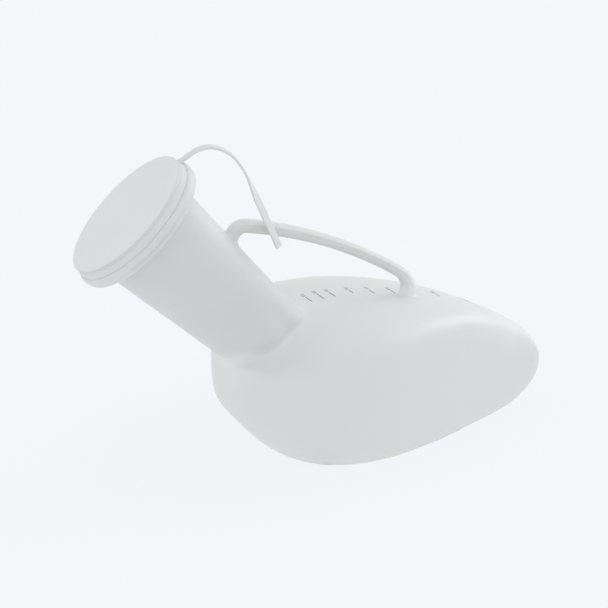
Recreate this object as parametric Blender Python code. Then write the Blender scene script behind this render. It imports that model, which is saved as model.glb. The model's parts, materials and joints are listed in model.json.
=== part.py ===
"""Male urine bottle: a flat-based pear-shaped body with a slanted neck, a bar handle,
a push-on lid with a moulded strap, and a volume scale on the top face.

Metres, +Z up.  The origin is on the flat base, below the middle of the body's length.
The body points along +X: the narrow tip is at +X, the neck rises towards -X, and the
bottle is symmetrical about the plane Y = 0.  The neck's own axis carries the local
frame of everything round: local +Z points out of the mouth, and local Z = 0 is the
outer face of the closed lid.
"""
import math

import bmesh
import bpy
from mathutils import Matrix, Vector

MM = 0.001
GAP = 0.3 * MM                        # left between pieces that touch

# Body: rings across X.  u runs from 0 at the wide end to pi at the tip.
BODY_LENGTH = 175.6 * MM
BODY_MIDDLE = -0.8 * MM               # X of the middle of the length
BODY_HALF_WIDTH = 52.1 * MM           # at the middle of the length
WIDTH_POWERS = (0.81, 0.45)           # below 1 makes a blunt end
WIDTH_TAPER = 0.814                   # how much wider the neck end is than the middle
CROWN_RISE = 33.5 * MM                # top face above the mid line, at the middle
CROWN_POWERS = (1.5, 1.1)
CROWN_TAPER = -0.073
MID_HEIGHT = 30.0 * MM                # height of the widest line above the base
MID_SLOPE = -0.11
BELLY_EXTRA = 11.0 * MM               # the belly runs this far below the base, and is cut flat
BELLY_POWERS = (0.40, 0.85)
TOP_SQUARENESS = (5.0, 6.0)           # exponents of the section above the mid line
TIP_ROUNDING = 3.5                    # taken off that exponent close to the tip
BELLY_SQUARENESS = 4.63
WALL = 1.5 * MM
BODY_RINGS = 26
BODY_SIDES = 44

# Neck, mouth and lid, as radius and depth below the lid's outer face.
NECK_ELEVATION = math.radians(44.7)   # of the neck's axis above the horizontal
MOUTH = Vector((-137.6, 0, 118.2)) * MM
NECK_RADIUS_TOP = 27.5 * MM
NECK_RADIUS_DEEP = 20.5 * MM
NECK_DEEP = 106 * MM
NECK_TOP = 2.2 * MM
BEAD_RADIUS = 30.1 * MM               # the bead that the lid's skirt closes over
BEAD_BOTTOM = 4.4 * MM
FLANGE_RADIUS = 36.6 * MM
FLANGE_TOP = 4.9 * MM
FLANGE_BOTTOM = 11.2 * MM
LID_RADIUS = 34.6 * MM
LID_PLATE = 1.9 * MM
SKIRT_RADIUS = 33.2 * MM
SKIRT_INNER = 30.6 * MM
SKIRT_BOTTOM = 4.6 * MM
SEAL_RADIUS = 25.4 * MM
SEAL_WALL = 1.8 * MM
SEAL_BOTTOM = 8.5 * MM
ROUND_STEPS = 48

# Handle: a bar in the plane Y = 0, from the neck to the top face.
HANDLE_NECK_END = Vector((-88.4, 0, 97.4)) * MM
HANDLE_NECK_CORNER = Vector((-81.6, 0, 107.4)) * MM
HANDLE_BODY_CORNER = Vector((11.0, 0, 71.0)) * MM
HANDLE_BODY_END = Vector((8.2, 0, 57.0)) * MM
GRIP_CROWN = 5.6 * MM                 # the grip's rise above the chord of its corners
NECK_BEND = 5.0 * MM                  # reach of the bend on each side of its corner
BODY_BEND = 8.0 * MM
HANDLE_WIDTH = 7.4 * MM
HANDLE_HEIGHT = 6.6 * MM
HANDLE_CHAMFER = 2.0 * MM
FOOT_FLARE = 0.35                     # extra size of the bar at its two feet
FOOT_REACH = 7 * MM

# Strap: moulded with the lid.  Points on its centre line, from the lid to the free end.
STRAP_ROUTE = [
    (-111.5, 0.0, 140.0),
    (-108.0, 0.0, 141.9),
    (-102.7, -0.2, 145.1),
    (-97.7, -0.6, 146.6),
    (-92.9, -1.2, 146.2),
    (-88.1, -2.0, 144.2),
    (-83.6, -3.2, 140.2),
    (-79.1, -4.6, 132.9),
    (-74.8, -6.1, 122.4),
    (-71.5, -7.1, 114.5),
    (-67.2, -7.7, 104.9),
    (-63.6, -8.0, 96.4),
]
STRAP_WIDTH = 4.0 * MM
STRAP_THICKNESS = 1.2 * MM
STRAP_LEAN = math.radians(12)         # of the flat side, over the strap's crest
LEAN_END = 0.4                        # how far along it is reached
STRAP_TWIST = math.radians(28)        # of the flat side, more, on the way down
TWIST_START, TWIST_END = 0.6, 0.74
STRAP_STEPS = 4                       # sections between two points of the route

# Scale: short bars across the top face, one for each 100 ml, from the tip to the neck.
# Each has its X, its nearest Y and its length, in millimetres.
MARKS = [
    (47.3, 4.0, 6.5),
    (29.1, 2.0, 4.2),
    (16.5, 5.5, 4.5),
    (3.6, 2.4, 5.0),
    (-7.4, 3.4, 6.5),
    (-17.4, 7.4, 4.8),
    (-27.6, 6.5, 7.7),
    (-33.6, 6.9, 9.2),
    (-40.0, 7.2, 8.2),
]
MARK_STEP_ML = 100
MARK_WIDTH = 0.8 * MM
MARK_THICKNESS = 0.4 * MM

MILK_WHITE = (0.80, 0.83, 0.84)
LID_WHITE = (0.83, 0.85, 0.86)
INK_GREY = (0.08, 0.08, 0.09)


def material(name, colour, roughness):
    made = bpy.data.materials.new(name)
    made.use_nodes = True
    shader = made.node_tree.nodes["Principled BSDF"]
    shader.inputs["Base Color"].default_value = (*colour, 1)
    shader.inputs["Roughness"].default_value = roughness
    shader.inputs["Metallic"].default_value = 0
    return made


def add_object(name, bm, finish=None, parent=None):
    """Turn bm into an object, with smooth faces and sharp edges above 40 degrees."""
    bmesh.ops.recalc_face_normals(bm, faces=bm.faces[:])
    mesh = bpy.data.meshes.new(name)
    bm.to_mesh(mesh)
    bm.free()
    mesh.shade_smooth()
    mesh.set_sharp_from_angle(angle=math.radians(40))
    if finish:
        mesh.materials.append(finish)
    made = bpy.data.objects.new(name, mesh)
    bpy.context.collection.objects.link(made)
    made.parent = parent
    return made


def as_cutter(cutter):
    cutter.hide_render = True
    cutter.display_type = "WIRE"
    return cutter


def cut(target, cutter):
    boolean = target.modifiers.new("cut by " + cutter.name, "BOOLEAN")
    boolean.operation = "DIFFERENCE"
    boolean.object = cutter


def skin_rings(bm, rings, closed_ends=True):
    """Join rings of points, each with the same count, into a tube with capped ends."""
    loops = [[bm.verts.new(point) for point in ring] for ring in rings]
    for lower, upper in zip(loops, loops[1:]):
        for i in range(len(lower)):
            j = (i + 1) % len(lower)
            bm.faces.new((lower[i], lower[j], upper[j], upper[i]))
    if closed_ends:
        bm.faces.new(reversed(loops[0]))
        bm.faces.new(loops[-1])
    return loops


def body_ring(u):
    """The half width, mid height, crown rise and belly depth of the section at u."""
    along, bulge = math.cos(u), math.sin(u)
    x = BODY_MIDDLE - BODY_LENGTH / 2 * along
    half_width = BODY_HALF_WIDTH * bulge ** between(WIDTH_POWERS, u) * (1 + WIDTH_TAPER * along)
    mid = MID_HEIGHT + MID_SLOPE * x
    crown = CROWN_RISE * bulge ** between(CROWN_POWERS, u) * (1 + CROWN_TAPER * along)
    belly = (mid + BELLY_EXTRA) * bulge ** between(BELLY_POWERS, u)
    return x, half_width, mid, crown, belly


def between(ends, u):
    """The value at u of a pair that holds at the neck end and at the tip."""
    return ends[0] + (ends[1] - ends[0]) * (1 - math.cos(u)) / 2


def body_section(u, sides):
    """Points of one section, a rounded rectangle that is flat where it meets the base."""
    x, half_width, mid, crown, belly = body_ring(u)
    points = []
    for i in range(sides):
        angle = 2 * math.pi * i / sides
        across, up = math.cos(angle), math.sin(angle)
        top_power = between(TOP_SQUARENESS, u) - TIP_ROUNDING * between((0, 1), u) ** 6
        power = top_power if up > 0 else BELLY_SQUARENESS
        reach = (abs(across) ** power + abs(up) ** power) ** (-1 / power)
        z = mid + (crown if up > 0 else belly) * reach * up
        points.append((x, half_width * reach * across, max(z, 0)))
    return points


def body_mesh(swell=0):
    """The closed outer surface of the body, moved outwards by swell."""
    bm = bmesh.new()
    steps = [i / BODY_RINGS for i in range(1, BODY_RINGS)]
    rings = [body_section(math.pi * t * t * (3 - 2 * t), BODY_SIDES) for t in steps]
    loops = skin_rings(bm, rings, closed_ends=False)
    for u, loop in ((0, loops[0]), (math.pi, loops[-1])):
        x, _, mid, _, _ = body_ring(u)
        pole = bm.verts.new((x, 0, mid))
        for i, vertex in enumerate(loop):
            bm.faces.new((pole, vertex, loop[(i + 1) % len(loop)]))
    bmesh.ops.recalc_face_normals(bm, faces=bm.faces[:])
    if swell:
        bm.normal_update()
        for vertex in bm.verts:
            vertex.co += vertex.normal * swell
    return bm


def crown_height(x):
    """Height of the top face on the centre line, at x."""
    _, _, mid, crown, _ = body_ring(math.acos(2 * (BODY_MIDDLE - x) / BODY_LENGTH))
    return mid + crown


def turned(name, outline, finish=None, parent=None):
    """Spin a closed outline of (radius, depth) about the neck's axis."""
    bm = bmesh.new()
    vertices = [bm.verts.new((radius, 0, -depth)) for radius, depth in outline]
    edges = [bm.edges.new(pair) for pair in zip(vertices, vertices[1:] + vertices[:1])]
    on_axis = [e for e in edges if all(v.co.x == 0 for v in e.verts)]
    edges = [e for e in edges if e not in on_axis]
    for edge in on_axis:
        bm.edges.remove(edge)
    bmesh.ops.spin(bm, geom=vertices + edges, cent=(0, 0, 0), axis=(0, 0, 1),
                   angle=2 * math.pi, steps=ROUND_STEPS, use_merge=True)
    bmesh.ops.remove_doubles(bm, verts=bm.verts[:], dist=1e-6)
    return add_object(name, bm, finish, parent)


def neck_radius(depth):
    """The neck tapers evenly from the flange to its deep end."""
    share = (depth - FLANGE_BOTTOM) / (NECK_DEEP - FLANGE_BOTTOM)
    return NECK_RADIUS_TOP + share * (NECK_RADIUS_DEEP - NECK_RADIUS_TOP)


def make_body(finish, axis):
    """A hollow shell, open where the neck joins it."""
    body = add_object("bottle_body", body_mesh(), finish)
    wall = body.modifiers.new("wall", "SOLIDIFY")
    wall.thickness = WALL
    wall.offset = -1
    hole_start, hole_end = NECK_DEEP - 60 * MM, NECK_DEEP + 16 * MM
    hole = turned("neck_hole", [
        (0, hole_start),
        (neck_radius(hole_start) - WALL, hole_start),
        (neck_radius(hole_end) - WALL, hole_end),
        (0, hole_end),
    ], parent=axis)
    cut(body, as_cutter(hole))


def make_neck(finish, axis, body_room):
    """A tapered tube with a bead at its mouth, trimmed to the body's surface."""
    neck = turned("bottle_neck", [
        (neck_radius(NECK_TOP) - WALL, NECK_TOP),
        (BEAD_RADIUS - 0.8 * MM, NECK_TOP),
        (BEAD_RADIUS, NECK_TOP + 0.8 * MM),
        (BEAD_RADIUS, BEAD_BOTTOM - 0.8 * MM),
        (neck_radius(BEAD_BOTTOM), BEAD_BOTTOM),
        (neck_radius(NECK_DEEP), NECK_DEEP),
        (neck_radius(NECK_DEEP) - WALL, NECK_DEEP),
    ], finish, axis)
    cut(neck, body_room)


def make_flange(finish, axis):
    """A rounded collar around the neck, which the closed lid's skirt stops above."""
    inner_top = neck_radius(FLANGE_TOP) + GAP
    inner_bottom = neck_radius(FLANGE_BOTTOM) + GAP
    middle = (FLANGE_TOP + FLANGE_BOTTOM) / 2
    half = (FLANGE_BOTTOM - FLANGE_TOP) / 2
    edge = [(FLANGE_RADIUS - half * 0.6 * (1 - math.cos(a)), middle + half * math.sin(a))
            for a in (math.radians(d) for d in range(-90, 91, 30))]
    turned("mouth_flange", [(inner_top, FLANGE_TOP)] + edge + [(inner_bottom, FLANGE_BOTTOM)],
           finish, axis)


def handle_route():
    """Points along the bar's centre line, with a soft bend at each corner."""
    start, end = HANDLE_NECK_CORNER, HANDLE_BODY_CORNER
    chord = end - start
    outward = Vector((-chord.z, 0, chord.x)).normalized()

    def grip(t):
        return start + chord * t + outward * GRIP_CROWN * 4 * t * (1 - t)

    def bend(before, corner, after, reach, steps=6):
        first = corner + (before - corner).normalized() * reach
        last = corner + (after - corner).normalized() * reach
        shares = [i / steps for i in range(steps + 1)]
        return [first * (1 - t) ** 2 + corner * 2 * t * (1 - t) + last * t * t for t in shares]

    neck_bend = bend(HANDLE_NECK_END, start, grip(0.1), NECK_BEND)
    body_bend = bend(grip(0.9), end, HANDLE_BODY_END, BODY_BEND)
    middle = [grip(i / 16) for i in range(2, 15)]
    return [HANDLE_NECK_END] + neck_bend + middle + body_bend + [HANDLE_BODY_END]


def make_handle(finish, rooms):
    """An eight-sided bar swept along the route, wider where its feet join the bottle."""
    route = handle_route()
    half_w, half_h, c = HANDLE_WIDTH / 2, HANDLE_HEIGHT / 2, HANDLE_CHAMFER
    corners = [(half_w, half_h - c), (half_w - c, half_h), (c - half_w, half_h),
               (-half_w, half_h - c), (-half_w, c - half_h), (c - half_w, -half_h),
               (half_w - c, -half_h), (half_w, c - half_h)]
    rings = []
    for i, point in enumerate(route):
        along = (route[min(i + 1, len(route) - 1)] - route[max(i - 1, 0)]).normalized()
        outward = Vector((-along.z, 0, along.x))
        to_foot = min((point - HANDLE_NECK_END).length, (point - HANDLE_BODY_END).length)
        size = 1 + FOOT_FLARE * max(0, 1 - to_foot / FOOT_REACH)
        rings.append([point + (Vector((0, y, 0)) + outward * h) * size for y, h in corners])
    bm = bmesh.new()
    skin_rings(bm, rings)
    handle = add_object("handle", bm, finish)
    for room in rooms:
        cut(handle, room)


def make_lid(finish, axis):
    """The lid's plate and skirt, and the ring below it that seals inside the mouth."""
    turned("lid_cap", [
        (0, 0),
        (LID_RADIUS - 0.6 * MM, 0),
        (LID_RADIUS, 0.6 * MM),
        (LID_RADIUS, LID_PLATE - 0.5 * MM),
        (SKIRT_RADIUS, LID_PLATE),
        (SKIRT_RADIUS, SKIRT_BOTTOM),
        (SKIRT_INNER, SKIRT_BOTTOM),
        (SKIRT_INNER, LID_PLATE),
        (0, LID_PLATE),
    ], finish, axis)
    turned("lid_seal_ring", [
        (SEAL_RADIUS - SEAL_WALL, LID_PLATE + GAP),
        (SEAL_RADIUS, LID_PLATE + GAP),
        (SEAL_RADIUS, SEAL_BOTTOM - 0.8 * MM),
        (SEAL_RADIUS - 0.8 * MM, SEAL_BOTTOM),
        (SEAL_RADIUS - SEAL_WALL, SEAL_BOTTOM),
    ], finish, axis)


def smooth_route(points, steps):
    """A smooth curve through the points, and how far along each of its points is, 0 to 1."""
    padded = [points[0] * 2 - points[1]] + points + [points[-1] * 2 - points[-2]]
    curve = []
    for i in range(1, len(padded) - 2):
        a, b, c, d = padded[i - 1:i + 3]
        for k in range(steps):
            t = k / steps
            curve.append((b * 2 + (c - a) * t + (a * 2 - b * 5 + c * 4 - d) * t * t
                          + (b * 3 - a - c * 3 + d) * t ** 3) / 2)
    curve.append(points[-1])
    return curve, [i / (len(curve) - 1) for i in range(len(curve))]


def eased(share):
    held = min(max(share, 0), 1)
    return held ** 2 * (3 - 2 * held)


def make_strap(finish):
    """A flat strip from the lid's skirt, which turns its flat side as it comes down."""
    route, shares = smooth_route([Vector(p) * MM for p in STRAP_ROUTE], STRAP_STEPS)
    rings = []
    for i, (point, share) in enumerate(zip(route, shares)):
        along = (route[min(i + 1, len(route) - 1)] - route[max(i - 1, 0)]).normalized()
        face = along.cross(Vector((0, 1, 0))).normalized()
        side = face.cross(along)
        turn = STRAP_LEAN * eased(share / LEAN_END)
        turn += STRAP_TWIST * eased((share - TWIST_START) / (TWIST_END - TWIST_START))
        wide = (side * math.cos(turn) + face * math.sin(turn)) * STRAP_WIDTH / 2
        thin = (face * math.cos(turn) - side * math.sin(turn)) * STRAP_THICKNESS / 2
        rings.append([point + wide + thin, point - wide + thin,
                      point - wide - thin, point + wide - thin])
    bm = bmesh.new()
    skin_rings(bm, rings)
    strap = add_object("lid_strap", bm, finish)
    root = route[0]
    strap.data.transform(Matrix.Translation(-root))
    strap.location = root


def make_marks(finish):
    """Bars of the volume scale, just clear of the top face and parallel to it."""
    for i, (place, near, length) in enumerate(MARKS):
        x = place * MM
        step = 1 * MM
        rise = crown_height(x + step) - crown_height(x - step)
        slope = math.atan2(rise, 2 * step)
        bm = bmesh.new()
        bmesh.ops.create_cube(bm, size=1)
        bmesh.ops.scale(bm, vec=(MARK_WIDTH, length * MM, MARK_THICKNESS), verts=bm.verts[:])
        mark = add_object(f"scale_mark_{(i + 1) * MARK_STEP_ML}", bm, finish)
        lift = GAP + MARK_THICKNESS / 2
        mark.location = (x - lift * math.sin(slope), (near + length / 2) * MM,
                         crown_height(x) + lift * math.cos(slope))
        mark.rotation_euler = (0, -slope, 0)


def main():
    for old in list(bpy.data.objects):
        bpy.data.objects.remove(old, do_unlink=True)
    bottle_white = material("bottle_polyethylene", MILK_WHITE, 0.45)
    lid_white = material("lid_polyethylene", LID_WHITE, 0.5)
    ink = material("scale_ink", INK_GREY, 0.6)

    axis = bpy.data.objects.new("neck_axis", None)
    axis.location = MOUTH
    axis.rotation_euler = (0, NECK_ELEVATION - math.pi / 2, 0)
    bpy.context.collection.objects.link(axis)

    body_room = as_cutter(add_object("body_room", body_mesh(swell=GAP)))
    neck_room = as_cutter(turned("neck_room", [
        (0, NECK_TOP),
        (neck_radius(NECK_TOP) + GAP, NECK_TOP),
        (neck_radius(NECK_DEEP) + GAP, NECK_DEEP),
        (0, NECK_DEEP),
    ], parent=axis))

    make_body(bottle_white, axis)
    make_neck(bottle_white, axis, body_room)
    make_flange(bottle_white, axis)
    make_handle(bottle_white, (body_room, neck_room))
    make_lid(lid_white, axis)
    make_strap(lid_white)
    make_marks(ink)


main()
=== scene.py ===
import json
import math

import bmesh
import bpy
import numpy as np
from mathutils import Matrix, Vector
from mathutils.bvhtree import BVHTree


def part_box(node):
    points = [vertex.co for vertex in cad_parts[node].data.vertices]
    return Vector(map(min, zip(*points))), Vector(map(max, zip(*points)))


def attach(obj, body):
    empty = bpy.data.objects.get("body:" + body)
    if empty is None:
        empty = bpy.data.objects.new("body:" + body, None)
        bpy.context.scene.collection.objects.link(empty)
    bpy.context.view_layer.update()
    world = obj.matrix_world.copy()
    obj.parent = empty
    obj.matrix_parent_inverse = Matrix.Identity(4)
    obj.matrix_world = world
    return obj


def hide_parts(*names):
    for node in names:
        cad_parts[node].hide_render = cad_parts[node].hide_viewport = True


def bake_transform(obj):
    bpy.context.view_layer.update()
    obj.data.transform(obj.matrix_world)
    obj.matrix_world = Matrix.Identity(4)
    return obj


# The urine bottle's looks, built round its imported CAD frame.  Metres, +Z up, and the
# CAD's own frame: base on Z = 0, tip at +X, neck rising towards -X, symmetry plane Y = 0.

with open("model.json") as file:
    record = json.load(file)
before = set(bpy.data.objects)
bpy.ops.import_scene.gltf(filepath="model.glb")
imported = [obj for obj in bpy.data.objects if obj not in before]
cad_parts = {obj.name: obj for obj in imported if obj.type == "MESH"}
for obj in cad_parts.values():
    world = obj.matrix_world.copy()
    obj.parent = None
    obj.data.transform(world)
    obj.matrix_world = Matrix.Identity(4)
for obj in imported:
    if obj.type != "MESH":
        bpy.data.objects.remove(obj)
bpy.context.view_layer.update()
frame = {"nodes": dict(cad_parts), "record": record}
joints = {joint["name"]: joint for joint in frame["record"]["behaviour"]["joints"]}

MM = 0.001

# Body, as in the CAD but for rounder shoulders near the tip.  u runs from 0 at the wide end
# to pi at the tip, and a pair of values holds at those two ends.
BODY_LOW, BODY_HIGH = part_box("bottle_body")
BODY_LENGTH = BODY_HIGH[0] - BODY_LOW[0]
BODY_MIDDLE = (BODY_HIGH[0] + BODY_LOW[0]) / 2
BODY_HALF_WIDTH = 52.1 * MM           # at the middle of the length
WIDTH_POWERS = (0.81, 0.45)           # below 1 makes a blunt end
WIDTH_TAPER = 0.814                   # how much wider the neck end is than the middle
CROWN_RISE = 33.5 * MM                # top face above the mid line, at the middle
CROWN_POWERS = (1.5, 1.1)
CROWN_TAPER = -0.073
MID_HEIGHT = 30.0 * MM                # height of the widest line above the base
MID_SLOPE = -0.11
BELLY_EXTRA = 11.0 * MM               # the belly runs this far below the base, and is cut flat
BELLY_POWERS = (0.40, 0.85)
TOP_SQUARENESS = (5.0, 7.4)           # exponents of the section above the mid line
TIP_ROUNDING = 5.0                    # taken off that exponent near the tip
ROUNDING_SPAN = (0.64, 0.90)          # shares of the way to the tip over which it is taken off
BELLY_SQUARENESS = 4.63
WALL = 1.5 * MM
BODY_RINGS = 150
BODY_SIDES = 200
NECK_RINGS = 60

# Neck, mouth and lid: radius, and depth below the outer face of the closed lid.
NECK_OUT = Vector(joints["lid_pull"]["axis"]).normalized()
NECK_ELEVATION = math.asin(NECK_OUT.z)
MOUTH = Vector((-137.6, 0, 118.2)) * MM
NECK_RADIUS_TOP = 27.5 * MM
NECK_RADIUS_DEEP = 20.5 * MM
NECK_DEEP = 106 * MM
NECK_TOP = 2.2 * MM
BEAD_RADIUS = 30.1 * MM               # the bead that the lid's skirt closes over
BEAD_BOTTOM = 4.4 * MM
BEAD_EDGE = 0.7 * MM                  # bevel of the bead's two edges
FLANGE_RADIUS = (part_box("mouth_flange")[1][1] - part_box("mouth_flange")[0][1]) / 2
FLANGE_TOP = 4.9 * MM
FLANGE_BOTTOM = 11.2 * MM
LID_RADIUS = (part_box("lid_cap")[1][1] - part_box("lid_cap")[0][1]) / 2
LID_PLATE = 1.9 * MM
SKIRT_INNER = 30.6 * MM
SEAL_RADIUS = 25.4 * MM
SEAL_WALL = 1.8 * MM
SEAL_BOTTOM = 8.5 * MM
ROUND_STEPS = 144
COLLAR_TURNS = range(80, -71, -6)     # degrees round the flange's edge, from below to above
COLLAR_ROUNDNESS = (0.5, 0.85)        # of the flange's upper and lower side
COLLAR_GROOVE = 0.25 * MM             # a shallow groove round the flange
GROOVE_DEPTH = 8.6 * MM
GROOVE_REACH = 0.9 * MM
LIP_RADIUS = LID_RADIUS + 0.6 * MM    # where the skirt's lip meets the flange
LIP_EDGE = 0.08 * MM
CLOSED_GAP = 0.015 * MM               # between the closed lid's skirt and the flange
PLATE_DISH = 0.3 * MM                 # how far the plate's middle lies below its rim
PLATE_RIM = 1.2 * MM                  # width of that level rim
PLATE_GROOVE = 0.5 * MM               # cut in between the plate's edge and the skirt
MOUTH_ROUNDING = 1.1 * MM
LID_ROUNDING = 0.4 * MM

# Where the remeshed body and neck end, and the turned mouth begins.
MOUTH_SEAM = 15.5 * MM                # depth at which the remeshed surfaces are cut
MOUTH_END = MOUTH_SEAM - 0.8 * MM     # depth of the turned mouth's edges, bridged to that cut
SKIN_VOXEL = 1.1 * MM
LINING_VOXEL = 2.0 * MM               # of the inside
SKIN_ROUNDS, SKIN_WEIGHT = 4, 0.6     # of the smoothing that takes the voxels' steps away
JUNCTION_REACH = 7 * MM               # how far from the crease the neck's fillet runs
JUNCTION_ROUNDS = 26
ROOT_FLARE = 6.6 * MM                 # extra reach of the neck's root on its two flanks
ROOT_FLARE_START = 68 * MM            # depths
ROOT_FLARE_END = 90 * MM
FLANK_TURN = math.radians(97)         # of the flare's middle, about the neck's axis
FLANK_SPREAD = math.radians(22)

# Handle: a bar in the plane Y = 0, from the neck to the top face.
HANDLE_NECK_END = Vector((-88.4, 0, 97.4)) * MM
HANDLE_NECK_CORNER = Vector((-81.6, 0, 107.4)) * MM
HANDLE_BODY_CORNER = Vector((11.0, 0, 71.0)) * MM
HANDLE_BODY_END = Vector((8.2, 0, 57.0)) * MM
GRIP_CROWN = 5.6 * MM                 # the grip's rise above the chord of its corners
NECK_BEND = 5.0 * MM                  # reach of the bend on each side of its corner
BODY_BEND = 8.0 * MM
HANDLE_WIDTH = 7.4 * MM
HANDLE_HEIGHT = 6.6 * MM
HANDLE_CHAMFER = 2.0 * MM
HANDLE_EDGE = 0.4 * MM                # radius of the bar's eight long edges
BAR_TAPER = 0.1                       # how much slimmer the grip gets towards the body
TAPER_START, TAPER_SPAN = 0.2, 0.35   # shares of the bar's length
FOOT_SWELL = 0.38                     # how much thicker the bar gets down its last bend
FOOT_SWELL_REACH = 20 * MM
FOOT_FILLET = 4.0 * MM                # reach of the fillet at each foot
FOOT_STEPS = 8
TOE_DEPTH = 0.12 * MM                 # of the fillet's edge below the bottle's surface
SECTION_SPACING = 0.8 * MM            # between points along the bar's flat sides

# Strap: points on its centre line, from the lid to the free end, in millimetres.
STRAP_ROUTE = [
    (-111.5, 0.0, 140.0),
    (-108.0, 0.0, 141.9),
    (-102.7, -0.2, 145.1),
    (-97.7, -0.6, 146.6),
    (-92.9, -1.2, 146.2),
    (-88.1, -2.0, 144.2),
    (-83.6, -3.2, 140.2),
    (-79.1, -4.6, 132.9),
    (-74.8, -6.1, 122.4),
    (-71.5, -7.1, 114.5),
    (-67.2, -7.7, 104.9),
    (-63.6, -8.0, 96.4),
]
STRAP_WIDTH = 4.0 * MM
STRAP_THICKNESS = 1.2 * MM
STRAP_LEAN = math.radians(12)         # turn of the flat side over the strap's crest
LEAN_END = 0.4                        # shares of the strap's length
STRAP_TWIST = math.radians(48)        # turn added on the way down
TWIST_START, TWIST_END = 0.63, 0.77
STRAP_STEPS = 10                      # between two points of the route
STRAP_EDGE = 0.3 * MM                 # radius of the four long edges
STRAP_ROOT_DEPTH = 1.6 * MM           # how far the strap runs into the lid's skirt
STRAP_ROOT_FLARE = 0.6                # extra width of the strap at its root
STRAP_ROOT_REACH = 4 * MM

# Scale: a bar at the place of each of the CAD's marks, with a numeral beside it.
MARK_WIDTH = 0.45 * MM
MARK_CELLS = 12                       # along a bar, so that it can follow the top face
INK_HEIGHT = 0.05 * MM
NUMERAL_HEIGHT = 2.3 * MM
NUMERAL_GAP = 1.0 * MM
FONT_RATIO = 1.4                      # of the font's size to the height of its figures
FONT_THINNING = 0.035                 # taken off the strokes, as a share of the font's size

# Finishes: pairs of linear colours that cloud into each other, and each pattern's size.
BOTTLE_TONES = ((0.739, 0.734, 0.721), (0.719, 0.714, 0.701))
LID_TONES = ((0.765, 0.765, 0.755), (0.745, 0.745, 0.735))
INK_TONES = ((0.08, 0.10, 0.12), (0.16, 0.18, 0.20))
CLOUD_SIZE = 28 * MM
PATCH_SIZE = 9 * MM                   # of shinier and duller patches
PATCH_ROUGHNESS = 0.06                # more or less than the mean roughness
WAVE_SIZE, WAVE_HEIGHT, WAVE_STRENGTH = 14 * MM, 0.3 * MM, 0.25
GRAIN_SIZE, GRAIN_HEIGHT = 0.7 * MM, 0.02 * MM
INK_WEAR_SIZE = 0.5 * MM
SCATTER_LENGTH = 1.5 * MM             # of light inside the plastic
SCATTER_COLOUR = (1.0, 0.95, 0.9)
SPECULAR_LEVEL = 0.42
PARTING_HALF_WIDTH = 0.25 * MM        # the moulding's parting line, on the plane Y = 0
PARTING_HEIGHT, PARTING_STRENGTH = 0.12 * MM, 0.6

# Painted shade: each mesh carries its own painted shade and painted light, from -1 (paler) to 1 and
# beyond (darker).
PAINTED_SHADE = "shade"
PAINTED_SHADE_DEPTH = 0.08                    # how much of its tone a shade of 1 takes away
# Painted shade up the neck, darker in the crease at its root, and painted light on the body's
# shoulder round it.
NECK_PAINTED_SHADE = 0.9
UNDER_START = math.radians(95)        # the neck's shade fades out below this turn about its axis
UNDER_SPAN = math.radians(35)
UNDER_FADE = 9 * MM
CREASE_PAINTED_SHADE = 1.5                    # more, in the crease between the neck and the body
CREASE_TURN = math.radians(60)        # of the darkest part of the crease
CREASE_SPREAD = math.radians(26)
CREASE_REACH = 6 * MM
SHOULDER_PAINTED_LIGHT = 0.8                   # on the body, round the neck's root
SHOULDER_REACH = 20 * MM
# Painted shade on the collar, darker in its groove.
COLLAR_PAINTED_SHADE = 0.4
COLLAR_START = FLANGE_BOTTOM + 0.5 * MM   # depth above which this shade holds
GROOVE_PAINTED_SHADE = 1.3                    # more, in the collar's groove, on its two flanks
GROOVE_SPREAD = 1.5 * FLANK_SPREAD
# Painted shade round the edge of the lid's plate and down its skirt.
RIM_PAINTED_SHADE = 1.7                       # of the edge of the lid's plate
SKIRT_PAINTED_SHADE = 0.9
EDGE_REACH = 0.5 * MM                 # over which the lid's shades fade
# Painted light on the body round the handle's foot.
FOOT_PAINTED_LIGHT = 0.5                       # on the body, round the handle's foot
FOOT_PAINTED_LIGHT_REACH = 11 * MM
# Painted shade on the handle's sides, painted light on its top and towards its foot on the body.
BAR_PAINTED_SHADE = 0.6                       # on the handle's sides
BAR_PAINTED_SHADE_END = 34 * MM               # off its foot on the body, where this starts to fade
BAR_PAINTED_LIGHT = 0.4                        # on the handle's top
BAR_FOOT_PAINTED_LIGHT = 2.4                   # on the handle, towards its foot on the body
BAR_FOOT_REACH = 26 * MM
# Painted shade on the strap.
STRAP_PAINTED_SHADE = 0.6                     # up to the strap's twist; it fades out below

# Camera: where the photograph was taken from.
CAMERA_AZIMUTH = math.radians(22.26)
CAMERA_ELEVATION = math.radians(16.74)
CAMERA_DISTANCE = 0.7945
CAMERA_TARGET = Vector((-47.4, 0, 63.75)) * MM
CAMERA_LENS = 94.74                   # millimetres, as is the sensor's width
CAMERA_SENSOR = 36

# Light: linear colours.
BACKDROP = (0.896, 0.930, 0.956)
FLOOR_GLOW = 0.9                      # share of the floor's tone that shadows can't darken
FLOOR_TONE = (0.09, 0.09, 0.09)       # the rest, which they can
FLOOR_HALF_SIDE = 8                   # metres
KEY_FROM = (0.85, 0.36, 0.42)
KEY_COLOUR = (0.90, 0.96, 1.0)
KEY_STRENGTH = 0.6
KEY_ANGLE = math.radians(36)          # how wide it looks, which makes its shadows soft


# ---------------------------------------------------------------- materials

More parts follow.
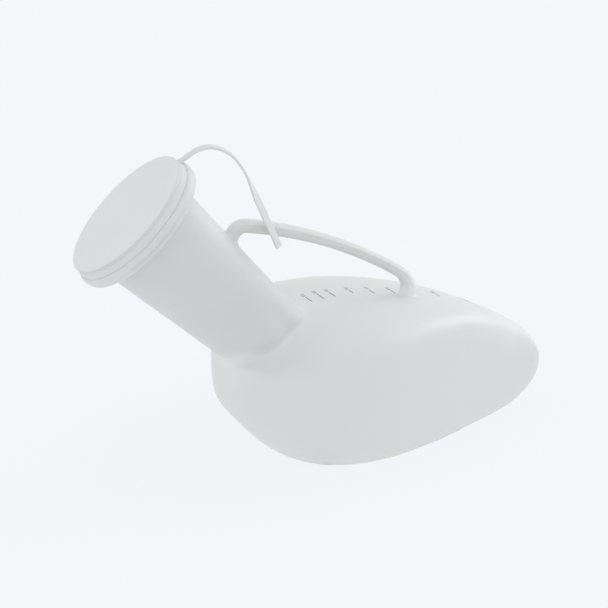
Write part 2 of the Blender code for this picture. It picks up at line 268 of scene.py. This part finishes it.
class Nodes:
    """Short calls for building one material's node tree."""

    def __init__(self, name):
        self.material = bpy.data.materials.new(name)
        self.material.use_nodes = True
        self.tree = self.material.node_tree
        self.shader = self.tree.nodes["Principled BSDF"]
        self.place = self.add("ShaderNodeTexCoord").outputs["Object"]

    def add(self, kind, **settings):
        node = self.tree.nodes.new(kind)
        for name, value in settings.items():
            setattr(node, name, value)
        return node

    def join(self, value, socket):
        if isinstance(value, bpy.types.NodeSocket):
            self.tree.links.new(value, socket)
        else:
            socket.default_value = value

    def math(self, operation, a, b=0.0):
        node = self.add("ShaderNodeMath", operation=operation)
        self.join(a, node.inputs[0])
        self.join(b, node.inputs[1])
        return node.outputs[0]

    def noise(self, size, detail=3.0):
        """Noise whose features are about `size` across, in metres."""
        node = self.add("ShaderNodeTexNoise")
        self.join(self.place, node.inputs["Vector"])
        node.inputs["Scale"].default_value = 1 / size
        node.inputs["Detail"].default_value = detail
        return node.outputs["Fac"]

    def span(self, value, low, high):
        """Map 0..1 to low..high."""
        node = self.add("ShaderNodeMapRange")
        self.join(value, node.inputs["Value"])
        node.inputs["To Min"].default_value = low
        node.inputs["To Max"].default_value = high
        return node.outputs["Result"]

    def blend(self, factor, first, second):
        node = self.add("ShaderNodeMix", data_type="RGBA")
        self.join(factor, node.inputs["Factor"])
        node.inputs["A"].default_value = (*first, 1)
        node.inputs["B"].default_value = (*second, 1)
        return node.outputs["Result"]

    def bump(self, height, distance, strength, under=None):
        node = self.add("ShaderNodeBump")
        node.inputs["Distance"].default_value = distance
        node.inputs["Strength"].default_value = strength
        self.join(height, node.inputs["Height"])
        if under:
            self.join(under, node.inputs["Normal"])
        return node.outputs["Normal"]

    def shaded(self, colour, depth):
        """Darken the colour by the mesh's painted shade times the depth."""
        shade = self.add("ShaderNodeAttribute", attribute_name=PAINTED_SHADE).outputs["Fac"]
        node = self.add("ShaderNodeVectorMath", operation="SCALE")
        self.join(colour, node.inputs[0])
        kept = self.math("SUBTRACT", 1.0, self.math("MULTIPLY", shade, depth))
        self.join(kept, node.inputs["Scale"])
        return node.outputs[0]

    def set(self, **values):
        """Set or link the shader's inputs: base_color stands for Base Color, and so on."""
        for name, value in values.items():
            title = name.replace("_", " ").title().replace("Ior", "IOR")
            self.join(value, self.shader.inputs[title])


def milky_plastic(name, tones, roughness, glow, grain):
    """Moulded polyethylene: cloudy tone darkened by the mesh's painted shade, a faint orange-peel
    surface and soft inner light.
    """
    nodes = Nodes(name)
    tone = nodes.blend(nodes.noise(CLOUD_SIZE, detail=2), *tones)
    # The tone is darkened or paled by the mesh's painted shade.
    nodes.set(base_color=nodes.shaded(tone, PAINTED_SHADE_DEPTH))
    duller, shinier = roughness + PATCH_ROUGHNESS, roughness - PATCH_ROUGHNESS
    nodes.set(roughness=nodes.span(nodes.noise(PATCH_SIZE), shinier, duller))
    nodes.set(subsurface_weight=glow, subsurface_scale=SCATTER_LENGTH)
    nodes.set(subsurface_radius=SCATTER_COLOUR, specular_ior_level=SPECULAR_LEVEL)
    waves = nodes.bump(nodes.noise(WAVE_SIZE, detail=1), WAVE_HEIGHT, WAVE_STRENGTH)
    nodes.set(normal=nodes.bump(nodes.noise(GRAIN_SIZE, detail=2), GRAIN_HEIGHT, grain, waves))
    return nodes


def bottle_material():
    """The bottle's plastic, with the moulding's parting line as a fine ridge."""
    nodes = milky_plastic("bottle_polyethylene", BOTTLE_TONES, roughness=0.42, glow=0.3, grain=0.2)
    split = nodes.add("ShaderNodeSeparateXYZ")
    nodes.join(nodes.place, split.inputs[0])
    off_line = nodes.math("DIVIDE", nodes.math("ABSOLUTE", split.outputs["Y"]), PARTING_HALF_WIDTH)
    ridge = nodes.math("SUBTRACT", 1.0, nodes.math("MINIMUM", off_line, 1.0))
    grain = nodes.shader.inputs["Normal"].links[0].from_socket
    nodes.set(normal=nodes.bump(ridge, PARTING_HEIGHT, PARTING_STRENGTH, grain))
    return nodes.material


def lid_material():
    nodes = milky_plastic("lid_polyethylene", LID_TONES, roughness=0.5, glow=0.0, grain=0.03)
    return nodes.material


def ink_material():
    nodes = Nodes("scale_ink")
    wear = nodes.noise(INK_WEAR_SIZE)
    nodes.set(base_color=nodes.blend(wear, *INK_TONES))
    nodes.set(roughness=nodes.span(wear, 0.5, 0.7))
    return nodes.material


# ---------------------------------------------------------------- mesh helpers

def evaluated_mesh(source):
    graph = bpy.context.evaluated_depsgraph_get()
    return bpy.data.meshes.new_from_object(source.evaluated_get(graph))


def object_from(name, bm, material, sharp=40, flat_faces=False):
    """Make an object of bm, smooth but for edges sharper than that many degrees.

    With flat_faces, wide faces stay flat and only the narrow ones between them look round.
    """
    bmesh.ops.recalc_face_normals(bm, faces=bm.faces[:])
    mesh = bpy.data.meshes.new(name)
    bm.to_mesh(mesh)
    bm.free()
    mesh.shade_smooth()
    mesh.set_sharp_from_angle(angle=math.radians(sharp))
    if material:
        mesh.materials.append(material)
    made = bpy.data.objects.new(name, mesh)
    bpy.context.collection.objects.link(made)
    if flat_faces:
        made.modifiers.new("flat faces", "WEIGHTED_NORMAL").keep_sharp = True
        made.data = evaluated_mesh(made)
        made.modifiers.clear()
        bpy.data.meshes.remove(mesh)
        made.data.name = name
    return made


def smooth_step(value):
    """0 up to 0, 1 from 1 on, and a soft rise between."""
    held = min(max(value, 0), 1)
    return held * held * (3 - 2 * held)


def set_shades(mesh, shades):
    """Store one painted shade for each point of the mesh, for its material."""
    mesh.attributes.new(PAINTED_SHADE, "FLOAT", "POINT").data.foreach_set("value", shades)


def skin_rings(bm, rings, caps=True):
    """Join rings of points, each with the same count, into a tube."""
    loops = [[bm.verts.new(point) for point in ring] for ring in rings]
    for lower, upper in zip(loops, loops[1:]):
        for i in range(len(lower)):
            j = (i + 1) % len(lower)
            bm.faces.new((lower[i], lower[j], upper[j], upper[i]))
    if caps:
        bm.faces.new(reversed(loops[0]))
        bm.faces.new(loops[-1])
    return loops


def neck_matrix():
    """From the neck's local frame, whose +Z points out of the mouth, to the object's."""
    return Matrix.Translation(MOUTH) @ Matrix.Rotation(NECK_ELEVATION - math.pi / 2, 4, "Y")


def turned_rings(outline):
    """Rings of points for an outline of (radius, depth) about the neck's axis."""
    place = neck_matrix()
    turns = [2 * math.pi * i / ROUND_STEPS for i in range(ROUND_STEPS)]
    return [[place @ Vector((r * math.cos(a), r * math.sin(a), -depth)) for a in turns]
            for r, depth in outline]


def rounded(outline, radius, steps=4):
    """Round the inner corners of an open outline, each by less than half of its edges."""
    points = [Vector(p) for p in outline]
    result = [points[0]]
    for before, corner, after in zip(points, points[1:], points[2:]):
        reach = min(radius, (before - corner).length * 0.45, (after - corner).length * 0.45)
        first = corner + (before - corner).normalized() * reach
        last = corner + (after - corner).normalized() * reach
        for i in range(steps + 1):
            t = i / steps
            result.append(first * (1 - t) ** 2 + corner * 2 * t * (1 - t) + last * t * t)
    result.append(points[-1])
    return [tuple(p) for p in result]


def fused(solids, voxel):
    """One even-meshed surface round all the overlapping closed solids."""
    bm = bmesh.new()
    for solid in solids:
        mesh = bpy.data.meshes.new("solid")
        solid.to_mesh(mesh)
        solid.free()
        bm.from_mesh(mesh)
        bpy.data.meshes.remove(mesh)
    block = object_from("block", bm, None)
    remesh = block.modifiers.new("fuse", "REMESH")
    remesh.mode = "VOXEL"
    remesh.voxel_size = voxel
    mesh = evaluated_mesh(block)
    bpy.data.objects.remove(block, do_unlink=True)
    return mesh


def relax(mesh, weights, rounds):
    """Move each point towards the middle of its neighbours: half way, times its own weight."""
    count = len(mesh.vertices)
    points = np.empty(count * 3)
    mesh.vertices.foreach_get("co", points)
    points = points.reshape(-1, 3)
    edges = np.empty(len(mesh.edges) * 2, int)
    mesh.edges.foreach_get("vertices", edges)
    ends = edges.reshape(-1, 2)
    degree = np.bincount(edges, minlength=count)[:, None]
    for _ in range(rounds):
        total = np.stack([
            np.bincount(ends[:, 0], points[ends[:, 1], k], count)
            + np.bincount(ends[:, 1], points[ends[:, 0], k], count)
            for k in range(3)
        ], axis=1)
        points += (total / degree - points) * 0.5 * weights[:, None]
    mesh.vertices.foreach_set("co", points.ravel())
    mesh.update()


# ---------------------------------------------------------------- bottle

def between(ends, u):
    """The value at u of a pair that holds at the neck end and at the tip."""
    return ends[0] + (ends[1] - ends[0]) * (1 - math.cos(u)) / 2


def body_ring(u):
    """The section's X at u, its half width, mid height, crown rise and belly depth."""
    along, bulge = math.cos(u), math.sin(u)
    x = BODY_MIDDLE - BODY_LENGTH / 2 * along
    half_width = BODY_HALF_WIDTH * bulge ** between(WIDTH_POWERS, u) * (1 + WIDTH_TAPER * along)
    mid = MID_HEIGHT + MID_SLOPE * x
    crown = CROWN_RISE * bulge ** between(CROWN_POWERS, u) * (1 + CROWN_TAPER * along)
    belly = (mid + BELLY_EXTRA) * bulge ** between(BELLY_POWERS, u)
    return x, half_width, mid, crown, belly


def roundness(u):
    """How far the section's square shoulders have given way to the tip's rounder ones."""
    start, end = ROUNDING_SPAN
    return smooth_step((between((0, 1), u) - start) / (end - start))


def body_section(u):
    """Points of one section, a rounded rectangle that is flat where it meets the base."""
    x, half_width, mid, crown, belly = body_ring(u)
    top_power = between(TOP_SQUARENESS, u) - TIP_ROUNDING * roundness(u)
    points = []
    for i in range(BODY_SIDES):
        angle = 2 * math.pi * i / BODY_SIDES
        across, up = math.cos(angle), math.sin(angle)
        power = top_power if up > 0 else BELLY_SQUARENESS
        reach = (abs(across) ** power + abs(up) ** power) ** (-1 / power)
        z = mid + (crown if up > 0 else belly) * reach * up
        points.append((x, half_width * reach * across, max(z, 0)))
    return points


def body_solid(inset=0):
    """The body's closed surface, moved inwards by inset."""
    bm = bmesh.new()
    steps = [i / BODY_RINGS for i in range(1, BODY_RINGS)]
    rings = [body_section(math.pi * t * t * (3 - 2 * t)) for t in steps]
    loops = skin_rings(bm, rings, caps=False)
    for u, loop in ((0, loops[0]), (math.pi, loops[-1])):
        x, _, mid, _, _ = body_ring(u)
        pole = bm.verts.new((x, 0, mid))
        for i, vertex in enumerate(loop):
            bm.faces.new((pole, vertex, loop[(i + 1) % len(loop)]))
    bmesh.ops.recalc_face_normals(bm, faces=bm.faces[:])
    bm.normal_update()
    for vertex in bm.verts:
        vertex.co -= vertex.normal * inset
    return bm


def neck_radius(depth):
    """The neck tapers evenly from the flange to its deep end."""
    share = (depth - FLANGE_BOTTOM) / (NECK_DEEP - FLANGE_BOTTOM)
    return NECK_RADIUS_TOP + share * (NECK_RADIUS_DEEP - NECK_RADIUS_TOP)


def root_flare(depth, turn):
    """How far the neck's root reaches out beyond its even taper, on its two flanks."""
    deep = smooth_step((depth - ROOT_FLARE_START) / (ROOT_FLARE_END - ROOT_FLARE_START))
    return ROOT_FLARE * deep * math.exp(-((abs(turn) - FLANK_TURN) / FLANK_SPREAD) ** 2)


def off_neck(local):
    """How far a point in the neck's frame is outside the neck's surface."""
    depth, turn = -local.z, math.atan2(local.y, local.x)
    return math.hypot(local.x, local.y) - neck_radius(depth) - root_flare(depth, turn)


def neck_solid(inset, deep):
    """The neck's closed surface, from under the flange to a depth inside the body."""
    bm = bmesh.new()
    top = FLANGE_BOTTOM - 4 * MM
    place = neck_matrix()
    turns = [2 * math.pi * i / ROUND_STEPS - math.pi for i in range(ROUND_STEPS)]
    rings = []
    for i in range(NECK_RINGS + 1):
        depth = top + (deep - top) * i / NECK_RINGS
        reach = [neck_radius(depth) - inset + root_flare(depth, a) for a in turns]
        rings.append([place @ Vector((r * math.cos(a), r * math.sin(a), -depth))
                      for r, a in zip(reach, turns)])
    skin_rings(bm, rings)
    bmesh.ops.recalc_face_normals(bm, faces=bm.faces[:])
    return bm


def bottle_skin(inset, voxel, deep):
    """Body and neck in one surface, with a soft fillet where they meet, open at the mouth."""
    body = body_solid(inset)
    tree = BVHTree.FromBMesh(body)
    mesh = fused([body, neck_solid(inset, deep)], voxel)
    to_neck = neck_matrix().inverted()
    weights = np.zeros(len(mesh.vertices))
    for i, vertex in enumerate(mesh.vertices):
        beside_neck = abs(off_neck(to_neck @ vertex.co) + inset)
        if beside_neck < JUNCTION_REACH:
            off_body = tree.find_nearest(vertex.co)[3]
            weights[i] = smooth_step(1 - max(beside_neck, off_body) / JUNCTION_REACH)
    relax(mesh, np.full(len(weights), SKIN_WEIGHT), SKIN_ROUNDS)
    relax(mesh, weights, round(JUNCTION_ROUNDS * (SKIN_VOXEL / voxel) ** 2))
    bm = bmesh.new()
    bm.from_mesh(mesh)
    bpy.data.meshes.remove(mesh)
    seam = neck_matrix() @ Vector((0, 0, -MOUTH_SEAM))
    bmesh.ops.bisect_plane(bm, geom=bm.verts[:] + bm.edges[:] + bm.faces[:],
                           plane_co=seam, plane_no=NECK_OUT, clear_outer=True)
    return bm


def in_groove(depth):
    """1 at the bottom of the collar's groove, and nearly 0 away from it."""
    return math.exp(-((depth - GROOVE_DEPTH) / GROOVE_REACH) ** 2)


def mouth_outline():
    """The turned mouth, from the neck's outside over the flange, bead and rim to its inside."""
    outside = neck_radius(MOUTH_END)
    inside = outside - WALL
    under_bead = neck_radius(FLANGE_TOP) + 0.7 * MM
    middle = (FLANGE_TOP + FLANGE_BOTTOM) / 2
    half = (FLANGE_BOTTOM - FLANGE_TOP) / 2
    collar = []
    for degrees in COLLAR_TURNS:
        a = math.radians(degrees)
        depth = middle + half * math.sin(a)
        bulge = COLLAR_ROUNDNESS[0] if depth < middle else COLLAR_ROUNDNESS[1]
        drop = half * bulge * (1 - math.cos(a)) + COLLAR_GROOVE * in_groove(depth)
        collar.append((FLANGE_RADIUS - drop, depth))
    outline = [
        (outside, MOUTH_END),
        (neck_radius(FLANGE_BOTTOM), FLANGE_BOTTOM + 0.2 * MM),
        *collar,
        (LIP_RADIUS, FLANGE_TOP + LIP_EDGE),
        (LIP_RADIUS - LIP_EDGE, FLANGE_TOP),
        (under_bead, FLANGE_TOP),
        (under_bead, BEAD_BOTTOM),
        (BEAD_RADIUS, BEAD_BOTTOM - BEAD_EDGE),
        (BEAD_RADIUS - BEAD_EDGE, NECK_TOP),
        (neck_radius(NECK_TOP) - WALL, NECK_TOP),
        (inside, MOUTH_END),
    ]
    return rounded(outline, MOUTH_ROUNDING)


def bottle_shades(mesh):
    """Painted shade up the neck, in its flanks' creases and on the collar, and painted light on the
    shoulder below and round the handle's foot.
    """
    body = body_solid()
    tree = BVHTree.FromBMesh(body)
    body.free()
    to_neck = neck_matrix().inverted()
    shades = []
    for vertex in mesh.vertices:
        local = to_neck @ vertex.co
        depth, turn = -local.z, math.atan2(local.y, local.x)
        off_body = tree.find_nearest(vertex.co)[3]
        beside_neck = max(off_neck(local), 0)
        on_neck = smooth_step(off_body / (off_body + beside_neck + 0.1 * MM))
        under = smooth_step((abs(turn) - UNDER_START) / UNDER_SPAN)
        on_neck *= 1 - under * (1 - smooth_step(off_body / UNDER_FADE))
        flank = math.exp(-((abs(turn) - CREASE_TURN) / CREASE_SPREAD) ** 2)
        crease = smooth_step(1 - math.hypot(off_body, beside_neck) / CREASE_REACH)
        shoulder = (1 - on_neck) * smooth_step(1 - beside_neck / SHOULDER_REACH)
        # Where the painted light round the handle's foot falls.
        foot = smooth_step(1 - (vertex.co - HANDLE_BODY_END).length / FOOT_PAINTED_LIGHT_REACH)
        # Painted shade up the neck and in the crease at its root, less the painted light on the
        # shoulder and round the handle's foot.
        shade = NECK_PAINTED_SHADE * on_neck + CREASE_PAINTED_SHADE * on_neck * crease * flank
        shade -= SHOULDER_PAINTED_LIGHT * shoulder + FOOT_PAINTED_LIGHT * foot
        # On the collar the painted shade is set anew, darker in its groove.
        if depth < COLLAR_START:
            beside = math.exp(-((abs(turn) - FLANK_TURN) / GROOVE_SPREAD) ** 2)
            shade = COLLAR_PAINTED_SHADE + GROOVE_PAINTED_SHADE * in_groove(depth) * beside
        shades.append(shade)
    return shades


def make_bottle(material):
    """The blow moulding: remeshed body and neck inside and out, joined by the turned mouth."""
    outer_skin = (0, SKIN_VOXEL, NECK_DEEP)
    lining = (WALL, LINING_VOXEL, NECK_DEEP + 2 * MM)
    bm = bmesh.new()
    rims = []
    for inset, voxel, deep in (outer_skin, lining):
        mesh = bpy.data.meshes.new("skin")
        skin = bottle_skin(inset, voxel, deep)
        skin.to_mesh(mesh)
        skin.free()
        before = set(bm.edges)
        bm.from_mesh(mesh)
        bpy.data.meshes.remove(mesh)
        rims.append([e for e in bm.edges if e not in before and e.is_boundary])
    mouth = skin_rings(bm, turned_rings(mouth_outline()), caps=False)
    for rim, loop in zip(rims, (mouth[0], mouth[-1])):
        ring = [bm.edges.get((a, b)) for a, b in zip(loop, loop[1:] + loop[:1])]
        bmesh.ops.bridge_loops(bm, edges=rim + ring)
    bottle = object_from("bottle", bm, material, sharp=50)
    set_shades(bottle.data, bottle_shades(bottle.data))
    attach(bottle, "bottle")
    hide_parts("bottle_body", "bottle_neck", "mouth_flange")
    return bottle


# ---------------------------------------------------------------- handle

def handle_route():
    """Points along the bar's centre line, as in the CAD, more closely set."""
    start, end = HANDLE_NECK_CORNER, HANDLE_BODY_CORNER
    chord = end - start
    outward = Vector((-chord.z, 0, chord.x)).normalized()

    def grip(t):
        return start + chord * t + outward * GRIP_CROWN * 4 * t * (1 - t)

    def bend(before, corner, after, reach, steps=14):
        first = corner + (before - corner).normalized() * reach
        last = corner + (after - corner).normalized() * reach
        shares = [i / steps for i in range(steps + 1)]
        return [first * (1 - t) ** 2 + corner * 2 * t * (1 - t) + last * t * t for t in shares]

    neck_bend = bend(HANDLE_NECK_END, start, grip(0.1), NECK_BEND)
    body_bend = bend(grip(0.9), end, HANDLE_BODY_END, BODY_BEND)
    middle = [grip(i / 60) for i in range(5, 55)]
    return neck_bend + middle + body_bend


def bar_section():
    """The bar's eight-sided outline with small round edges, as (across, outward) pairs."""
    half_w, half_h, c = HANDLE_WIDTH / 2, HANDLE_HEIGHT / 2, HANDLE_CHAMFER
    corners = [(half_w, half_h - c), (half_w - c, half_h), (c - half_w, half_h),
               (-half_w, half_h - c), (-half_w, c - half_h), (c - half_w, -half_h),
               (half_w - c, -half_h), (half_w, c - half_h)]
    outline = rounded([corners[-1]] + corners + [corners[0]], HANDLE_EDGE, steps=3)[1:-1]
    even = []
    for first, last in zip(outline, outline[1:] + outline[:1]):
        count = max(1, round(math.dist(first, last) / SECTION_SPACING))
        even += [tuple(Vector(first).lerp(Vector(last), i / count)) for i in range(count)]
    return even


def foot_rings(ring, way, tree):
    """Rings from the bar's last ring down to the surface, in a fillet that starts past that ring."""
    middle = sum(ring, Vector()) / len(ring)
    columns = []
    for point in ring:
        landing = tree.ray_cast(point, way)[0]
        spread = (point - middle).normalized() * FOOT_FILLET
        toe = tree.find_nearest(landing + spread)
        start = landing - way * min(FOOT_FILLET, (landing - point).length * 0.9)
        shares = [i / FOOT_STEPS for i in range(FOOT_STEPS + 1)]
        end = toe[0] - toe[1] * TOE_DEPTH
        curve = [start * (1 - t) ** 2 + landing * 2 * t * (1 - t) + end * t * t for t in shares]
        columns.append(curve + [end - toe[1] * 2 * TOE_DEPTH])
    return [list(row) for row in zip(*columns)]


def bar_shades(rings, section):
    """Painted shade on the bar's sides and painted light on its top, fading towards its foot on the
    body, where more painted light is added.
    """
    side = HANDLE_HEIGHT / 2 - HANDLE_CHAMFER
    across_bar = []
    for _, h in section:
        above = smooth_step((h - side) / HANDLE_EDGE + 0.5)
        below = smooth_step((-h - side) / HANDLE_EDGE + 0.5)
        across_bar.append(BAR_PAINTED_SHADE * (1 - above - below) - BAR_PAINTED_LIGHT * above)
    shades = []
    first_toe = len(rings) - FOOT_STEPS - 1
    for i, ring in enumerate(rings):
        off_end = (sum(ring, Vector()) / len(ring) - HANDLE_BODY_END).length
        kept = smooth_step(off_end / BAR_PAINTED_SHADE_END)
        # Painted light towards the foot on the body, blending at the toe into the body's own.
        pale = BAR_FOOT_PAINTED_LIGHT * smooth_step(1 - off_end / BAR_FOOT_REACH)
        pale += (FOOT_PAINTED_LIGHT - pale) * smooth_step((i - first_toe) / (FOOT_STEPS - 2))
        shades += [shade * kept - pale for shade in across_bar]
    return shades


def make_handle(material, bottle_tree):
    """The bar, with each foot running out on to the bottle in a fillet."""
    route = handle_route()
    section = bar_section()
    rings = []
    for i, point in enumerate(route):
        along = (route[min(i + 1, len(route) - 1)] - route[max(i - 1, 0)]).normalized()
        outward = Vector((-along.z, 0, along.x))
        size = 1 - BAR_TAPER * smooth_step((i / len(route) - TAPER_START) / TAPER_SPAN)
        size += FOOT_SWELL * smooth_step(1 - (point - HANDLE_BODY_END).length / FOOT_SWELL_REACH)
        rings.append([point + (Vector((0, y, 0)) + outward * h) * size for y, h in section])
    first_way = (HANDLE_NECK_END - route[0]).normalized()
    last_way = (HANDLE_BODY_END - route[-1]).normalized()
    rings = foot_rings(rings[0], first_way, bottle_tree)[::-1] + rings
    rings += foot_rings(rings[-1], last_way, bottle_tree)
    bm = bmesh.new()
    skin_rings(bm, rings)
    handle = object_from("handle_bar", bm, material, sharp=60, flat_faces=True)
    set_shades(handle.data, bar_shades(rings, section))
    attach(handle, "bottle")
    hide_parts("handle")


# ---------------------------------------------------------------- lid and strap

def lid_outline():
    """The lid from the dished plate's upper side, round the skirt and ring, to its lower side."""
    half_way = LID_RADIUS / 2
    skirt_end = FLANGE_TOP - CLOSED_GAP
    return rounded([
        (half_way, PLATE_DISH / 2),
        (LID_RADIUS - PLATE_RIM, 0),
        (LID_RADIUS, 0),
        (LID_RADIUS, LID_PLATE - PLATE_GROOVE),
        (LID_RADIUS - PLATE_GROOVE, LID_PLATE - 0.2 * MM),
        (LID_RADIUS - 0.1 * MM, LID_PLATE + 0.2 * MM),
        (LIP_RADIUS, skirt_end - LIP_EDGE),
        (LIP_RADIUS, skirt_end),
        (LIP_RADIUS - LIP_EDGE, skirt_end),
        (SKIRT_INNER, skirt_end),
        (SKIRT_INNER, LID_PLATE),
        (SEAL_RADIUS, LID_PLATE),
        (SEAL_RADIUS, SEAL_BOTTOM),
        (SEAL_RADIUS - SEAL_WALL, SEAL_BOTTOM),
        (SEAL_RADIUS - SEAL_WALL, LID_PLATE),
        (half_way, LID_PLATE),
    ], LID_ROUNDING)


def lid_shades(mesh):
    """Painted shade round the plate's rim, and less of it down the skirt."""
    to_neck = neck_matrix().inverted()
    shades = []
    for vertex in mesh.vertices:
        local = to_neck @ vertex.co
        off_rim = LID_RADIUS - math.hypot(local.x, local.y)
        on_edge = smooth_step(1 - off_rim / EDGE_REACH)
        on_plate = smooth_step((LID_PLATE + local.z) / EDGE_REACH)
        shades.append(on_edge * (RIM_PAINTED_SHADE * on_plate + SKIRT_PAINTED_SHADE * (1 - on_plate)))
    return shades


def make_lid(material):
    """Plate, skirt and sealing ring, turned in one piece."""
    bm = bmesh.new()
    loops = skin_rings(bm, turned_rings(lid_outline()), caps=False)
    for loop, depth in ((loops[0], PLATE_DISH), (loops[-1], LID_PLATE)):
        centre = bm.verts.new(neck_matrix() @ Vector((0, 0, -depth)))
        for i, vertex in enumerate(loop):
            bm.faces.new((centre, vertex, loop[(i + 1) % len(loop)]))
    lid = object_from("lid", bm, material, flat_faces=True)
    set_shades(lid.data, lid_shades(lid.data))
    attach(lid, "lid")
    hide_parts("lid_cap", "lid_seal_ring")


def smooth_route(points, steps):
    """A smooth curve through the points, with the given steps between two of them."""
    padded = [points[0] * 2 - points[1]] + points + [points[-1] * 2 - points[-2]]
    curve = []
    for i in range(1, len(padded) - 2):
        a, b, c, d = padded[i - 1:i + 3]
        for k in range(steps):
            t = k / steps
            curve.append((b * 2 + (c - a) * t + (a * 2 - b * 5 + c * 4 - d) * t * t
                          + (b * 3 - a - c * 3 + d) * t ** 3) / 2)
    return curve + [points[-1]]


def make_strap(material):
    """A flat strip with round edges, rooted in the lid's skirt, that bends at its root."""
    points = [Vector(p) * MM for p in STRAP_ROUTE]
    inside = points[0] - (points[1] - points[0]).normalized() * STRAP_ROOT_DEPTH
    route = [inside] + smooth_route(points, STRAP_STEPS)
    half_w, half_t = STRAP_WIDTH / 2, STRAP_THICKNESS / 2
    corners = [(half_w, half_t), (-half_w, half_t), (-half_w, -half_t), (half_w, -half_t)]
    section = rounded([corners[-1]] + corners + [corners[0]], STRAP_EDGE, steps=3)[1:-1]
    rings, shades = [], []
    for i, point in enumerate(route):
        share = i / (len(route) - 1)
        along = (route[min(i + 1, len(route) - 1)] - route[max(i - 1, 0)]).normalized()
        face = along.cross(Vector((0, 1, 0))).normalized()
        side = face.cross(along)
        twisted = smooth_step((share - TWIST_START) / (TWIST_END - TWIST_START))
        turn = STRAP_LEAN * smooth_step(share / LEAN_END) + STRAP_TWIST * twisted
        # Painted shade on the strap, fading out down its twist.
        shades.append(STRAP_PAINTED_SHADE * (1 - twisted))
        wide = side * math.cos(turn) + face * math.sin(turn)
        thin = face * math.cos(turn) - side * math.sin(turn)
        near_root = max(0, 1 - (point - points[0]).length / STRAP_ROOT_REACH)
        size = 1 + STRAP_ROOT_FLARE * near_root ** 2
        rings.append([point + wide * a * size + thin * b for a, b in section])
    bm = bmesh.new()
    skin_rings(bm, rings)
    strap = object_from("strap", bm, material, sharp=50, flat_faces=True)
    set_shades(strap.data, [shade for shade in shades for _ in section])
    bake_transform(strap)
    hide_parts("lid_strap")


# ---------------------------------------------------------------- scale

def lay_on(bm, tree, x, y):
    """Drop ink on to the top face: its local X runs across the body, its Y towards the neck.

    What is above its local Z = 0 lies on the surface, and the rest just under it.
    """
    for vertex in bm.verts:
        place = Vector((x - vertex.co.y, y + vertex.co.x, BODY_HIGH[2] + 5 * MM))
        hit, normal, _, _ = tree.ray_cast(place, Vector((0, 0, -1)))
        vertex.co = hit + normal * (INK_HEIGHT if vertex.co.z > 0 else -INK_HEIGHT)


def make_mark(node, millilitres, material, tree):
    """One bar of the scale."""
    low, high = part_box(node)
    bm = bmesh.new()
    bmesh.ops.create_grid(bm, x_segments=MARK_CELLS, y_segments=2, size=0.5)
    bmesh.ops.scale(bm, vec=(high[1] - low[1], MARK_WIDTH, 1), verts=bm.verts[:])
    extruded = bmesh.ops.extrude_face_region(bm, geom=bm.faces[:])["geom"]
    upper = [part for part in extruded if isinstance(part, bmesh.types.BMVert)]
    bmesh.ops.translate(bm, vec=(0, 0, 1), verts=upper)
    lay_on(bm, tree, (low[0] + high[0]) / 2, (low[1] + high[1]) / 2)
    bar = object_from(f"scale_bar_{millilitres}", bm, material)
    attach(bar, "bottle")
    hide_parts(node)


def make_numeral(node, millilitres, material, tree):
    """The numeral beside one bar of the scale."""
    low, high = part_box(node)
    text = bpy.data.curves.new("numeral", "FONT")
    text.body = str(millilitres)
    text.size = NUMERAL_HEIGHT * FONT_RATIO
    text.extrude = 1
    text.offset = -FONT_THINNING * text.size
    text.align_y = "CENTER"
    text.resolution_u = 3
    letters = bpy.data.objects.new("numeral", text)
    bpy.context.collection.objects.link(letters)
    bm = bmesh.new()
    bm.from_mesh(evaluated_mesh(letters))
    bpy.data.objects.remove(letters, do_unlink=True)
    bmesh.ops.remove_doubles(bm, verts=bm.verts[:], dist=1e-6)
    lay_on(bm, tree, (low[0] + high[0]) / 2, high[1] + NUMERAL_GAP)
    numeral = object_from(f"scale_numeral_{millilitres}", bm, material)
    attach(numeral, "bottle")


# ---------------------------------------------------------------- setting

def make_camera():
    back = Vector((-math.sin(CAMERA_AZIMUTH) * math.cos(CAMERA_ELEVATION),
                   -math.cos(CAMERA_AZIMUTH) * math.cos(CAMERA_ELEVATION),
                   math.sin(CAMERA_ELEVATION)))
    data = bpy.data.cameras.new("camera")
    data.sensor_width = CAMERA_SENSOR
    data.lens = CAMERA_LENS
    camera = bpy.data.objects.new("camera", data)
    camera.location = CAMERA_TARGET + back * CAMERA_DISTANCE
    camera.rotation_euler = (-back).to_track_quat("-Z", "Y").to_euler()
    bpy.context.collection.objects.link(camera)
    bpy.context.scene.camera = camera


def make_setting():
    """A pale studio: even light from all round and one soft key light from beyond the tip."""
    world = bpy.data.worlds.new("studio")
    world.use_nodes = True
    background = world.node_tree.nodes["Background"]
    background.inputs["Color"].default_value = (*BACKDROP, 1)
    background.inputs["Strength"].default_value = 1
    bpy.context.scene.world = world
    bpy.context.scene.view_settings.view_transform = "Standard"

    sun = bpy.data.lights.new("key", "SUN")
    sun.energy = KEY_STRENGTH
    sun.color = KEY_COLOUR
    sun.angle = KEY_ANGLE
    key = bpy.data.objects.new("key", sun)
    key.rotation_euler = Vector(KEY_FROM).to_track_quat("Z", "Y").to_euler()
    bpy.context.collection.objects.link(key)

    nodes = Nodes("pale_floor")
    nodes.set(base_color=(*FLOOR_TONE, 1), roughness=1.0, specular_ior_level=0.0)
    nodes.set(emission_color=(*BACKDROP, 1), emission_strength=FLOOR_GLOW)
    bm = bmesh.new()
    bmesh.ops.create_grid(bm, x_segments=1, y_segments=1, size=FLOOR_HALF_SIDE)
    floor = object_from("floor", bm, nodes.material)


make_camera()
bottle_finish, lid_finish, ink_finish = bottle_material(), lid_material(), ink_material()
bottle = make_bottle(bottle_finish)
bottle_tree = BVHTree.FromObject(bottle, bpy.context.evaluated_depsgraph_get())
make_handle(bottle_finish, bottle_tree)
make_lid(lid_finish)
make_strap(lid_finish)
for node in sorted(name for name in frame["nodes"] if name.startswith("scale_mark_")):
    millilitres = int(node.rsplit("_", 1)[1])
    make_mark(node, millilitres, ink_finish, bottle_tree)
    make_numeral(node, millilitres, ink_finish, bottle_tree)
make_setting()
